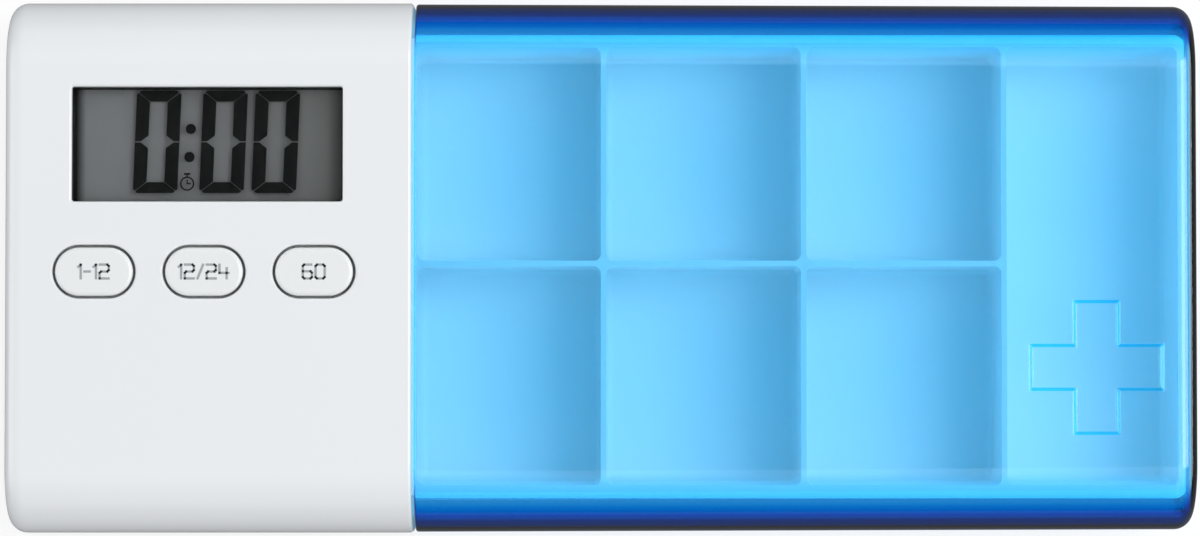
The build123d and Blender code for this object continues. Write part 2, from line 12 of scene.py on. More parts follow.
import bpy
import numpy as np
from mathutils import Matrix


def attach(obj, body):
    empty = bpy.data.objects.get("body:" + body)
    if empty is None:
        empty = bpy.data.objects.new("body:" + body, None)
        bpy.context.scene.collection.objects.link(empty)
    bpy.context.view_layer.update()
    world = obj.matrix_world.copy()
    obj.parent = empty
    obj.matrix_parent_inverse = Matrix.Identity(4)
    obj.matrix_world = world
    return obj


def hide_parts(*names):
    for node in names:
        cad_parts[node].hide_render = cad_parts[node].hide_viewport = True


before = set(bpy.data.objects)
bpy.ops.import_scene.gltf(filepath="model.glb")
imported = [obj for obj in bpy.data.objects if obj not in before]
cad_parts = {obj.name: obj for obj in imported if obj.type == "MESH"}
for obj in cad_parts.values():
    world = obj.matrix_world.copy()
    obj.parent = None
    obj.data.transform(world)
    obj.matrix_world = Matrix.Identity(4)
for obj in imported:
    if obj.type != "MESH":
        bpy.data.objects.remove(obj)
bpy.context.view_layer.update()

MM = 0.001
MICROMETRE = 1e-6
WHITE = (1.0, 1.0, 1.0, 1.0)
NOISE_SPAN = (0.3, 0.7)  # Where nearly all values of a noise texture lie.
Tree, Node, Socket = bpy.types.NodeTree, bpy.types.Node, bpy.types.NodeSocket
Material, Array = bpy.types.Material, np.ndarray
RGBA = {"data_type": "RGBA"}
Pair, Row, Stops = tuple[float, float], tuple[float, ...], tuple[tuple[float, str], ...]
log = logging.getLogger("pill_organizer")


def linear(code: str) -> Row:
    """Turns an sRGB hex colour into linear light.

    Each channel c becomes c / 12.92 up to 0.04045 and ((c + 0.055) / 1.055) ** 2.4 above it.

    Args:
        code: The colour as "#RRGGBB".

    Returns:
        Linear red, green and blue, and an alpha of 1.
    """
    channels = [int(code[i:i + 2], 16) / 255 for i in (1, 3, 5)]
    light = [c / 12.92 if c <= 0.04045 else ((c + 0.055) / 1.055) ** 2.4 for c in channels]
    return (light[0], light[1], light[2], 1.0)


def add_node(tree: Tree, kind: str, settings: dict[str, object] | None = None,
             inputs: dict[str | int, object] | None = None) -> Node:
    """Adds one node, sets its attributes, and fills or links its inputs.

    Args:
        tree: The node tree that gets the node.
        kind: Blender's name of the node type, less the "ShaderNode" that it starts with.
        settings: Attribute values of the node.
        inputs: By input name or number, a value, an output socket, or a node, whose first output in use is
            taken.

    Returns:
        The new node.
    """
    node = tree.nodes.new("ShaderNode" + kind)
    for name, value in (settings or {}).items():
        setattr(node, name, value)
    for key, value in (inputs or {}).items():
        if isinstance(value, Node):
            value = next(output for output in value.outputs if output.enabled)
        if isinstance(value, Socket):
            tree.links.new(value, node.inputs[key])
        else:
            node.inputs[key].default_value = value
    return node


def blank_material(name: str) -> tuple[Material, Tree, Socket]:
    """Makes an empty node material.

    Args:
        name: The material's name.

    Returns:
        The material, its node tree, and the object coordinates that patterns read.
    """
    material = bpy.data.materials.new(name)
    material.use_nodes = True
    material.node_tree.nodes.clear()
    place = add_node(material.node_tree, "TexCoord").outputs["Object"]
    return material, material.node_tree, place


@dataclass(frozen=True)
class NamedFinish:
    """What every finish has.

    Attributes:
        name: What the material is and how its surface was made.
    """

    name: str


@dataclass(frozen=True)
class Finish(NamedFinish):
    """An opaque surface whose colour, roughness and relief vary a little, as moulding leaves them.

    Attributes:
        colour: Main colour.
        shade: Colour that the variation drifts to.
        grain: Size of the fine relief, in mm.
        relief: Height of the fine relief, in micrometres.
        drift: Size of the slow colour and gloss variation, in mm.
        roughness: Middle roughness.
        spread: How far the roughness goes to each side.
        metallic: 1 for metal, else 0.
        ior: Refractive index.
        stretch: Scale of the relief along X, Y and Z, below 1 along a brushed direction.
        scatter: Share of light that goes below the surface.
        scatter_depth: How far it goes in, in mm.
        rim: Greyer colour painted on thin rims as shade, to dim rim tops that the lamps light brightly, or
            none.
        rim_shade_height: Height of those rims, in mm.
        rim_shade_ease: How far below that height the painted shade starts, in mm.
    """

    colour: str
    shade: str
    grain: float = 0.3
    relief: float = 4.0
    drift: float = 14.0
    roughness: float = 0.4
    spread: float = 0.05
    metallic: float = 0.0
    ior: float = 1.5
    stretch: Row = (1.0, 1.0, 1.0)
    scatter: float = 0.0
    scatter_depth: float = 1.2
    rim: str = ""
    rim_shade_height: float = 0.0
    rim_shade_ease: float = 0.3

    def paint_rim_shade(self, tree: Tree, place: Socket, tone: Node) -> Node:
        """Paints shade on the rims: blends a greyer colour in just below their height.

        Args:
            tree: The material's node tree.
            place: The object's own coordinates.
            tone: The colour elsewhere.

        Returns:
            The blended colour.
        """
        axes = add_node(tree, "SeparateXYZ", inputs={"Vector": place})
        # Painted shade: towards the rims' height the colour turns greyer, so the brightly lit rim tops look
        # dimmer.
        near = add_node(tree, "MapRange", inputs={
            "Value": axes.outputs["Z"], "From Min": (self.rim_shade_height - self.rim_shade_ease) * MM,
            "From Max": self.rim_shade_height * MM})
        return add_node(tree, "Mix", RGBA, {"Factor": near, 6: tone, 7: linear(self.rim)})

    def build(self) -> Material:
        """Makes the material.

        Returns:
            The material.
        """
        material, tree, place = blank_material(self.name)
        slow = add_node(tree, "TexNoise", inputs={
            "Vector": place, "Scale": 1 / (self.drift * MM), "Detail": 3.0})
        colour = add_node(tree, "Mix", RGBA, {"Factor": slow, 6: linear(self.colour), 7: linear(self.shade)})
        tone = self.paint_rim_shade(tree, place, colour) if self.rim else colour
        gloss = add_node(tree, "MapRange", inputs={
            "Value": slow, "From Min": NOISE_SPAN[0], "From Max": NOISE_SPAN[1],
            "To Min": max(self.roughness - self.spread, 0.02), "To Max": self.roughness + self.spread})
        mapped = add_node(tree, "Mapping", inputs={"Vector": place, "Scale": self.stretch})
        fine = add_node(tree, "TexNoise", inputs={"Vector": mapped, "Scale": 1 / (self.grain * MM)})
        bump = add_node(tree, "Bump", inputs={"Height": fine, "Distance": self.relief * MICROMETRE})
        looks = {"Base Color": tone, "Roughness": gloss, "Metallic": self.metallic, "Normal": bump}
        if self.metallic == 0.0:
            looks["IOR"] = self.ior
        if self.scatter > 0.0:
            looks |= {"Subsurface Weight": self.scatter, "Subsurface Radius": WHITE[:3],
                      "Subsurface Scale": self.scatter_depth * MM}
        shader = add_node(tree, "BsdfPrincipled", inputs=looks)
        add_node(tree, "OutputMaterial", inputs={"Surface": shader})
        return material


def colour_ramp(tree: Tree, place: Node | Socket, stops: Stops) -> Node:
    """Adds a ramp through a row of colours.

    Args:
        tree: The material's node tree.
        place: What the ramp follows, from 0 to 1.
        stops: Places and colours.

    Returns:
        The ramp.
    """
    ramp = add_node(tree, "ValToRGB", inputs={"Fac": place})
    elements = ramp.color_ramp.elements
    while len(elements) < len(stops):
        elements.new(1.0)
    for element, (share, code) in zip(elements, stops):
        element.position, element.color = share, linear(code)
    return ramp


@dataclass(frozen=True)
class ClearFinish(NamedFinish):
    """A transparent moulding. Light of the lamps passes it as it does the real sheet.

    Attributes:
        ior: Refractive index.
        roughness: Roughness of the polished surface.
        depth_colour: Colour that deep plastic lets through, or none for a colourless one.
        density: Absorption of the colour that is taken most, per metre.
        ripple: Size of the slow flow ripple, in mm.
        relief: Height of that ripple, in micrometres.
        lamp_share: Share of the lamps' light that passes the sheet.
        slants: What the sheet lets through as it turns from the eye: stops of a slant, which is one less
            the cosine of the turn, and a colour.
        edge_slants: The same for the rounded long edges, where the sheet is seen end on.
    """

    ior: float
    roughness: float = 0.02
    depth_colour: str = ""
    density: float = 0.0
    ripple: float = 9.0
    relief: float = 3.0
    slants: Stops = ()
    edge_slants: Stops = ()
    lamp_share: float = 0.97

    def tint(self, tree: Tree) -> Node:
        """Blends the sheet's ramp into that of the long edges by the piece's attribute "edge".

        Args:
            tree: The material's node tree.

        Returns:
            The colour that the surface lets through.
        """
        slant = add_node(tree, "LayerWeight", inputs={"Blend": 0.5}).outputs["Facing"]
        edge = add_node(tree, "Attribute", {"attribute_name": "edge"})
        return add_node(tree, "Mix", RGBA, {
            "Factor": edge.outputs["Fac"], 6: colour_ramp(tree, slant, self.slants),
            7: colour_ramp(tree, slant, self.edge_slants)})

    def build(self) -> Material:
        """Makes the material.

        Returns:
            The material.
        """
        material, tree, place = blank_material(self.name)
        wave = add_node(tree, "TexNoise", inputs={
            "Vector": place, "Scale": 1 / (self.ripple * MM), "Detail": 1.0})
        bump = add_node(tree, "Bump", inputs={"Height": wave, "Distance": self.relief * MICROMETRE})
        shader = add_node(tree, "BsdfPrincipled", inputs={
            "Base Color": self.tint(tree) if self.slants else WHITE,
            "Roughness": self.roughness, "IOR": self.ior, "Transmission Weight": 1.0, "Normal": bump})
        open_to_lamps = add_node(tree, "BsdfTransparent", inputs={"Color": (self.lamp_share,) * 3 + (1.0,)})
        ray = add_node(tree, "LightPath")
        mixed = add_node(tree, "MixShader", inputs={
            "Fac": ray.outputs["Is Shadow Ray"], 1: shader, 2: open_to_lamps})
        ends = {"Surface": mixed}
        if self.depth_colour:
            ends["Volume"] = add_node(tree, "VolumeAbsorption", inputs={
                "Color": linear(self.depth_colour), "Density": self.density})
        add_node(tree, "OutputMaterial", inputs=ends)
        return material


@dataclass(frozen=True)
class ReflectorFinish(NamedFinish):
    """The grey field of a liquid crystal cell: reflector grain behind glass, with painted shade and shadow.

    Attributes:
        stops: Colours along the field, as shares of its length and sRGB hex, painting its shade and shadow.
        span: Where the field starts and ends along X, in mm.
        grain: Size of the reflector's grain, in mm.
        relief: Height of the grain, in micrometres.
        depth: How strongly the grain darkens the colour.
    """

    stops: Stops
    span: Pair
    grain: float = 0.2
    relief: float = 4.0
    depth: float = 0.16

    def build(self) -> Material:
        """Makes the material.

        Returns:
            The material.
        """
        material, tree, place = blank_material(self.name)
        axes = add_node(tree, "SeparateXYZ", inputs={"Vector": place})
        along = add_node(tree, "MapRange", inputs={
            "Value": axes.outputs["X"], "From Min": self.span[0] * MM, "From Max": self.span[1] * MM})
        # Painted shade: black at the left end for the window edge's shadow, greyer towards the right end.
        field_grey_and_painted_shade = colour_ramp(tree, along, self.stops)
        grain = add_node(tree, "TexNoise", inputs={"Vector": place, "Scale": 1 / (self.grain * MM)})
        grained = add_node(tree, "Mix", RGBA | {"blend_type": "MULTIPLY"}, {
            "Factor": self.depth, 6: field_grey_and_painted_shade, 7: grain.outputs["Color"]})
        bump = add_node(tree, "Bump", inputs={
            "Height": grain, "Strength": 0.5, "Distance": self.relief * MICROMETRE})
        shader = add_node(tree, "BsdfPrincipled", inputs={
            "Base Color": grained, "Roughness": 0.5, "IOR": 1.2, "Normal": bump})
        add_node(tree, "OutputMaterial", inputs={"Surface": shader})
        return material


@dataclass(frozen=True)
class BoardFinish(NamedFinish):
    """Glass epoxy board under green solder mask, with a rectangular weave of copper tracks.

    Attributes:
        mask: Colour of the mask over bare laminate.
        track: Colour of the mask over copper.
        pitch: Track pitch, in mm.
        copper: Height of the tracks, in micrometres.
    """

    mask: str
    track: str
    pitch: float
    copper: float = 35.0

    def build(self) -> Material:
        """Makes the material.

        Returns:
            The material.
        """
        material, tree, place = blank_material(self.name)
        tracks = add_node(tree, "TexBrick", {"offset": 0.37}, {
            "Vector": place, "Scale": 1 / (self.pitch * MM), "Mortar Size": 0.06, "Brick Width": 2.6,
            "Row Height": 0.5, "Color1": linear(self.mask), "Color2": linear(self.mask),
            "Mortar": linear(self.track)})
        bump = add_node(tree, "Bump", inputs={
            "Height": tracks.outputs["Fac"], "Strength": 0.6, "Distance": self.copper * MICROMETRE})
        shader = add_node(tree, "BsdfPrincipled", inputs={
            "Base Color": tracks, "Roughness": 0.32, "IOR": 1.52, "Normal": bump})
        add_node(tree, "OutputMaterial", inputs={"Surface": shader})
        return material


class Stuff(Enum):
    """The finishes of the organizer, each named for the real material and how it was made."""

    # Cool white ABS from a polished mould: even colour, broad soft highlight, barely any grain.
    CASE = Finish("moulded_abs_case", "#DFE1E2", "#DCDEDF", 0.25, 0.5, 22.0, 0.24, 0.03, ior=1.53)
    # The keys come from the same plastic in another mould, a trace cleaner.
    KEY = Finish("moulded_abs_key", "#DEE0E0", "#DBDDDD", 0.2, 0.5, 6.0, 0.26, 0.03, ior=1.53)
    # Pad print: thin matt grey ink, a little uneven in cover.
    PRINT = Finish("pad_printed_grey_ink", "#8E9294", "#9EA2A4", 0.06, 1.0, 0.25, 0.6, 0.05)
    # White polypropylene, satin from its mould, with light going a little way in; its rim tops get painted
    # shade.
    TRAY = Finish("moulded_polypropylene_tray", "#F3FAFC", "#F0F7F9", 0.3, 1.0, 16.0, 0.45, 0.04, ior=1.49,
                  scatter=0.1, rim="#CADCE2", rim_shade_height=15.9)
    # Blue see-through polystyrene: clear on the flat, deep blue where the eye looks along the wall.
    SLEEVE = ClearFinish(
        "polished_blue_polystyrene", 1.59, 0.02, "#00E7FC", 120.0, 14.0, 2.0,
        ((0.0, "#D8EBFF"), (0.04, "#98E0FF"), (0.1, "#50D8FF"), (0.2, "#28CEFF")),
        ((0.0, "#BEE6FF"), (0.05, "#94DCFF"), (0.1, "#4CCCFF"), (0.18, "#08B8FA"), (0.24, "#009CF6"),
         (0.31, "#0068E0"), (0.36, "#002CB4"), (0.45, "#000C58"), (0.6, "#000424")))
    # Colourless acrylic lens, polished, so that only its edges and reflections show.
    LENS = ClearFinish("polished_clear_acrylic", 1.49, 0.015, "#F2FAFA", 6.0, 6.0, 0.5)
    # Segment ink of the liquid crystal: flat near-black, no gloss of its own.
    SEGMENT = Finish("driven_crystal_segment", "#0C0F0E", "#121514", 0.05, 0.2, 1.0, 0.6, 0.02, ior=1.12)
    # Closed-cell foam frame, matt black with open pores about 0.15 mm wide.
    FOAM = Finish("cut_closed_cell_foam", "#161616", "#202020", 0.15, 40.0, 2.0, 0.9, 0.03)
    # Black nylon from a spark-eroded mould: fine even texture, dull sheen.
    NYLON = Finish("moulded_black_nylon", "#181819", "#222223", 0.12, 8.0, 5.0, 0.5, 0.05)
    # Acetal switch stem, waxy off-white.
    STEM = Finish("moulded_acetal_stem", "#D8D5CB", "#CFCCC2", 0.2, 2.0, 2.0, 0.4, 0.04, ior=1.48)
    # Silicone strip of thin conducting and insulating layers.
    ELASTOMER = Finish("layered_silicone", "#D8A3A0", "#8E6A6A", 0.1, 4.0, 0.4, 0.7, 0.05,
                       stretch=(1.0, 0.05, 0.05))
    # Potting resin set as it ran: smooth black with a slow ripple.
    RESIN = Finish("set_potting_resin", "#101011", "#1A1A1B", 1.5, 12.0, 4.0, 0.3, 0.08)
    # Sintered ferrite, dark grey and dry.
    FERRITE = Finish("sintered_ferrite", "#3A3838", "#2C2B2B", 0.15, 10.0, 2.0, 0.75, 0.05)
    # Nickel-plated steel screws: bright with turned rings, read here as fine relief.
    SCREW = Finish("nickel_plated_steel", "#C9C8C3", "#B9B8B2", 0.12, 3.0, 1.5, 0.28, 0.06, metallic=1.0)
    # Cell can: stainless steel with a fine brushed grain along X.
    CAN = Finish("brushed_stainless_can", "#CFCFCD", "#BFBFBD", 0.08, 2.5, 6.0, 0.33, 0.06, metallic=1.0,
                 stretch=(0.06, 1.0, 1.0))
    # Plated spring strip, rolled, warm grey.
    STRIP = Finish("rolled_spring_strip", "#D2CDBB", "#C4BEA9", 0.1, 2.0, 3.0, 0.3, 0.05, metallic=1.0,
                   stretch=(1.0, 0.08, 1.0))
    # Rolled brass disc, yellow with faint handling stains.
    BRASS = Finish("rolled_brass", "#D9B15A", "#B98F45", 0.15, 2.0, 3.0, 0.32, 0.08, metallic=1.0)
    # Silvered ceramic, chalky and pale.
    CERAMIC = Finish("silvered_ceramic", "#DEDCD3", "#CFCDC5", 0.08, 3.0, 2.0, 0.6, 0.05)
    # Extruded vinyl insulation, red, with a soft gloss.
    VINYL = Finish("extruded_red_vinyl", "#B81E18", "#9E1813", 0.4, 3.0, 2.0, 0.4, 0.05)
    # Satin film behind the cell, pearly grey.
    FILM = Finish("satin_reflector_film", "#B4B6B4", "#A6A8A6", 0.05, 2.0, 3.0, 0.4, 0.05)
    # Solder mask over copper tracks, a row every 1.2 mm.
    BOARD = BoardFinish("masked_glass_epoxy", "#0C4A2A", "#1B6B3E", 2.4)
    # Reflector field of the display: painted shadow at its left end, painted shade darkening it rightwards.
    FIELD = ReflectorFinish("reflective_crystal_field", (
        (0.028, "#101213"), (0.062, "#6C6F71"), (0.94, "#606262"), (0.985, "#4C4E4E")), (-59.8, -28.9))


@dataclass
class Palette:
    """Materials made so far, one of each finish."""

    made: dict[Stuff, Material] = field(default_factory=dict)

    def get(self, stuff: Stuff) -> Material:
        """Gives the material of a finish and makes it the first time.

        Args:
            stuff: The finish.

        Returns:
            Its material.
        """
        if stuff not in self.made:
            self.made[stuff] = stuff.value.build()
        return self.made[stuff]


PALETTE = Palette()


def dress(node: str, stuff: Stuff) -> None:
    """Gives a carried-over CAD node its finish.

    Args:
        node: The node's name.
        stuff: Its finish.
    """
    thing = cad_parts[node]
    if not thing.material_slots:
        thing.data.materials.append(None)
    for place in thing.material_slots:
        place.material = PALETTE.get(stuff)
    log.info("dressed %s in %s", node, stuff.value.name)


def make_piece(name: str, points: Array, faces: list, body: str, stuff: Stuff,
               stands_for: tuple[str, ...] = (), sharp: float = 32.0) -> bpy.types.Object:
    """Turns arrays into a finished piece that rides on a body.

    Args:
        name: The piece's name.
        points: Points as an array of n by 3, in mm.
        faces: Faces as lists of point numbers, seen anticlockwise from outside.
        body: The body that carries it.
        stuff: Its finish.
        stands_for: CAD nodes that it replaces.
        sharp: Angle in degrees over which an edge stays crisp.

    Returns:
        The new object.
    """
    mesh = bpy.data.meshes.new(name)
    mesh.from_pydata((points * MM).tolist(), [], faces)
    mesh.polygons.foreach_set("use_smooth", np.ones(len(mesh.polygons), dtype=bool))
    mesh.set_sharp_from_angle(angle=math.radians(sharp))
    mesh.materials.append(PALETTE.get(stuff))
    piece = bpy.data.objects.new(name, mesh)
    bpy.context.scene.collection.objects.link(piece)
    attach(piece, body)
    if stands_for:
        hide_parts(*stands_for)
    log.info("made %s: %d points, %d faces", name, len(mesh.vertices), len(mesh.polygons))
    return piece


def loft_faces(rings: int, around: int) -> list:
    """Faces of a closed skin over rings of points, with a flat cap on each end.

    Ring i holds points i * around to (i + 1) * around. Each face joins point j and j + 1 of a ring to those
    of the next, wrapping round, and the first cap runs backwards so that it looks outwards.

    Args:
        rings: Number of rings.
        around: Points in each ring.

    Returns:
        The faces as lists of point numbers.
    """
    ring = np.arange(rings - 1)[:, None] * around
    here = np.arange(around)[None, :]
    after = (here + 1) % around
    quads = np.stack([ring + here, ring + after, ring + around + after, ring + around + here], axis=-1)
    caps = [np.arange(around)[::-1].tolist(), (np.arange(around) + (rings - 1) * around).tolist()]
    return quads.reshape(-1, 4).tolist() + caps


def ease(share: Array) -> Array:
    """Eases shares from 0 to 1: three times the square less twice the cube."""
    return share * share * (3 - 2 * share)


def quarter_turn(steps: int) -> tuple[Array, Array]:
    """A quarter round in equal steps of its angle, as shares of its radius.

    Args:
        steps: Number of points.

    Returns:
        One less the cosine, which rises from 0 to 1, and one less the sine, which falls from 1 to 0.
    """
    angle = np.linspace(0.0, math.pi / 2, steps)
    return 1 - np.cos(angle), 1 - np.sin(angle)


@dataclass
class Sleeve:
    """The clear sleeve as one skin, fine enough to bend light smoothly.

    Every ring is the case's rounded rectangle, drawn in by an inset. The path of the rings, as pairs of a
    place along X and an inset, runs from the closed end inside, along the inner wall to the mouth, round
    the mouth's edge, back along the outer wall and over the rounding of the closed end. Two rings, one
    flat_run from each rounding, keep the inner wall flat to the light.
    """

    mouth: float = -20.9
    closed: float = 66.8
    width: float = 60.0
    height: float = 19.0
    corner: float = 7.5
    set_in: float = 0.1
    draft: float = 0.28
    wall: float = 1.6
    end_wall: float = 1.1
    end_round: float = 2.0
    inner_round: float = 0.5
    lip_round: float = 0.15
    mouth_round: float = 0.3
    flat_run: float = 0.4
    cross_centre: Pair = (55.4, -11.4)
    cross_span: float = 15.1
    cross_arm: float = 5.3
    cross_depth: float = 0.4
    cross_flank: Row = (-0.1, 0.0, 0.08, 0.2, 0.32, 0.4, 0.5)
    corner_steps: int = 24
    turn_steps: int = 7
    end_steps: int = 15
    wall_steps: int = 14
    face_steps: int = 9
    face_half: float = 21.0
    edge_start: float = 23.8
    edge_ease: float = 1.3

    def edge_lines(self, centre: float) -> Array:
        """Places along one axis where the recess needs points, a row across each of its four flanks.

        Args:
            centre: The cross's centre on that axis.

        Returns:
            The places in rising order.
        """
        halves = np.array([self.cross_span / 2, self.cross_arm / 2])
        inward = halves[:, None] - np.array(self.cross_flank)[None, :]
        return np.sort(centre + np.concatenate([inward.ravel(), -inward.ravel()]))

    def path(self) -> Array:
        """Pairs of a place along X and an inset, in the order of the rings.

        Returns:
            An array of n by 2, in mm.
        """
        end = self.closed - self.end_wall
        rise, fall = quarter_turn(self.turn_steps)
        inner = np.stack([end - self.inner_round * rise, self.wall + self.inner_round * fall], axis=1)
        inner_wall = np.array([[end - self.inner_round - self.flat_run, self.wall],
                               [self.mouth + self.lip_round + self.flat_run, self.wall]])
        lip = np.stack([self.mouth + self.lip_round * fall, self.wall - self.lip_round * rise], axis=1)
        outer_lip = np.stack([self.mouth + self.mouth_round * rise, self.mouth_round * fall], axis=1)
        lines = np.unique(np.concatenate([
            np.linspace(self.mouth + 2, self.closed - self.end_round - 0.5, self.wall_steps),
            self.edge_lines(self.cross_centre[0])]))
        wall = np.stack([lines, np.zeros_like(lines)], axis=1)
        rise, fall = quarter_turn(self.end_steps)
        rounding = np.stack([self.closed - self.end_round * fall, self.end_round * rise], axis=1)
        return np.concatenate([inner, inner_wall, lip, outer_lip, wall, rounding])

    def rings(self) -> Array:
        """All rings of points.

        A ring's corner centres stay where they are for every inset, because the corner radius shrinks by
        the inset too: the straight runs keep their places, and only the draft moves them.

        Returns:
            An array of rings by points by 3, in mm.
        """
        path = self.path()
        x, inset = path[:, :1], path[:, 1:]
        narrowing = self.set_in + self.draft * (x - self.mouth) / (self.closed - self.mouth)
        across = self.width / 2 - self.corner - narrowing
        upright = self.height / 2 - self.corner
        radius = self.corner - inset
        face_lines = np.unique(np.concatenate([np.linspace(-self.face_half, self.face_half, self.face_steps),
                                               self.edge_lines(self.cross_centre[1])]))[::-1]
        turn = np.linspace(0.0, math.pi / 2, self.corner_steps + 1)
        signs = ((-1, 1, 1), (-1, -1, 2), (1, -1, 3), (1, 1, 0))
        y_parts, z_parts = [], []
        for side, level, quarter in signs:
            angle = turn[None, :] + quarter * math.pi / 2
            y_parts.append(side * across + radius * np.cos(angle))
            z_parts.append(level * upright + radius * np.sin(angle) + np.zeros_like(x))
        top_y = np.repeat(face_lines[None, :], len(path), axis=0)
        top_z = upright + radius + np.zeros_like(top_y)
        y = np.concatenate([top_y] + y_parts, axis=1)
        z = np.concatenate([top_z] + z_parts, axis=1) + self.height / 2
        x = np.repeat(x, y.shape[1], axis=1)
        z -= np.where(inset == 0.0, self.recess(x, y), 0.0) * (z > self.height - 0.01)
        return np.stack([x, y, z], axis=-1)

    def recess(self, x: Array, y: Array) -> Array:
        """Depth of the cross below the top face.

        The distance inside each bar is the smaller of its half sizes less the offsets from the centre, the
        cross takes the larger of the two bars, and the depth eases from nothing to full over one depth.

        Args:
            x: Places along the case.
            y: Places across it.

        Returns:
            The depths, in mm.
        """
        off_x = np.abs(x - self.cross_centre[0])
        off_y = np.abs(y - self.cross_centre[1])
        long, short = self.cross_span / 2, self.cross_arm / 2
        inside = np.maximum(np.minimum(long - off_x, short - off_y), np.minimum(short - off_x, long - off_y))
        share = np.clip(inside / self.cross_depth, 0.0, 1.0)
        return self.cross_depth * (share + ease(share)) / 2

    def build(self) -> None:
        """Makes the sleeve and stands it in for its CAD node."""
        rings = self.rings()
        faces = loft_faces(rings.shape[0], rings.shape[1])
        piece = make_piece("clear_sleeve", rings.reshape(-1, 3), faces, "sleeve",
                           Stuff.SLEEVE, ("sleeve",), sharp=50.0)
        skin = piece.data.attributes.new("edge", "FLOAT", "POINT")
        skin.data.foreach_set("value", self.edge(rings).ravel())

    def edge(self, rings: Array) -> Array:
        """Marks the rounded long edges of the outer skin: 0 on the flat, easing to 1 over the first bend.

        Args:
            rings: All rings of points.

        Returns:
            An array of rings by points.
        """
        bend = np.clip((np.abs(rings[..., 1]) - self.edge_start) / self.edge_ease, 0.0, 1.0)
        inner_rings = 2 * self.turn_steps + 2  # Two turns and the two flat rings.
        outer = np.arange(rings.shape[0])[:, None] >= inner_rings
        return (outer * ease(bend)).astype(np.float32)


@dataclass
class Keys:
    """The three flat-oval keys, with crowned edges, a shallow dish and a small grey mark each."""

    names: tuple[str, ...] = ("hour", "mode", "minute")
    marks: tuple[str, ...] = ("1-12", "12/24", "60")
    centres: Row = (-56.67, -44.37, -32.07)
    row: float = -0.7
    length: float = 8.7
    width: float = 5.4
    top: float = 19.2
    crown: float = 0.45
    dish: float = 0.015
    dish_end: float = 0.15
    flange: float = 0.8
    flange_bottom: float = 16.4
    flange_top: float = 17.1
    mark_height: float = 1.55
    stroke: float = 0.27
    round_points: int = 33
    rise_points: int = 9

    def outline(self, inset: Array) -> Array:
        """Stadium outlines, one for each inset: two half circles on the ends of a straight run.

        Args:
            inset: Insets in mm.

        Returns:
            An array of insets by points by 2, anticlockwise from above.
        """
        run = (self.length - self.width) / 2
        right = np.linspace(-math.pi / 2, math.pi / 2, self.round_points)
        angle = np.concatenate([right, right + math.pi])
        shift = np.repeat([run, -run], self.round_points)
        radius = (self.width / 2 - inset)[:, None]
        return np.stack([shift + radius * np.cos(angle), radius * np.sin(angle)], axis=-1)

    def cap(self, name: str, x: float) -> None:
        """Makes one key. Its rings climb from the flange over the crown into the dish.

        Args:
            name: The key's name.
            x: Its centre along the case.
        """
        rise, fall = quarter_turn(self.rise_points)
        inner = np.linspace(self.crown, self.width / 2 - self.dish_end, self.rise_points)[1:]
        dish_z = self.top - self.dish * ease((inner - self.crown) / (inner[-1] - self.crown))
        inset = np.concatenate([[-self.flange, -self.flange, 0.0], self.crown * rise, inner])
        z = np.concatenate([[self.flange_bottom, self.flange_top, self.flange_top],
                            self.top - self.crown * fall, dish_z])
        flat = self.outline(inset)
        points = np.concatenate([flat + np.array([x, self.row]),
                                 np.repeat(z[:, None, None], flat.shape[1], axis=1)], axis=-1)
        make_piece("key_cap_" + name, points.reshape(-1, 3), loft_faces(len(z), flat.shape[1]),
                   "button_" + name, Stuff.KEY, ("button_" + name,))

    def build(self) -> None:
        """Makes the keys and their marks, and dresses the switches below them."""
        for name, mark, x in zip(self.names, self.marks, self.centres):
            self.cap(name, x)
            Lettering(self.mark_height, self.stroke).build("key_mark_" + name, mark, (x, self.row, self.top),
                                                           "button_" + name)
            dress("switch_plunger_" + name, Stuff.STEM)
            dress("switch_housing_" + name, Stuff.NYLON)


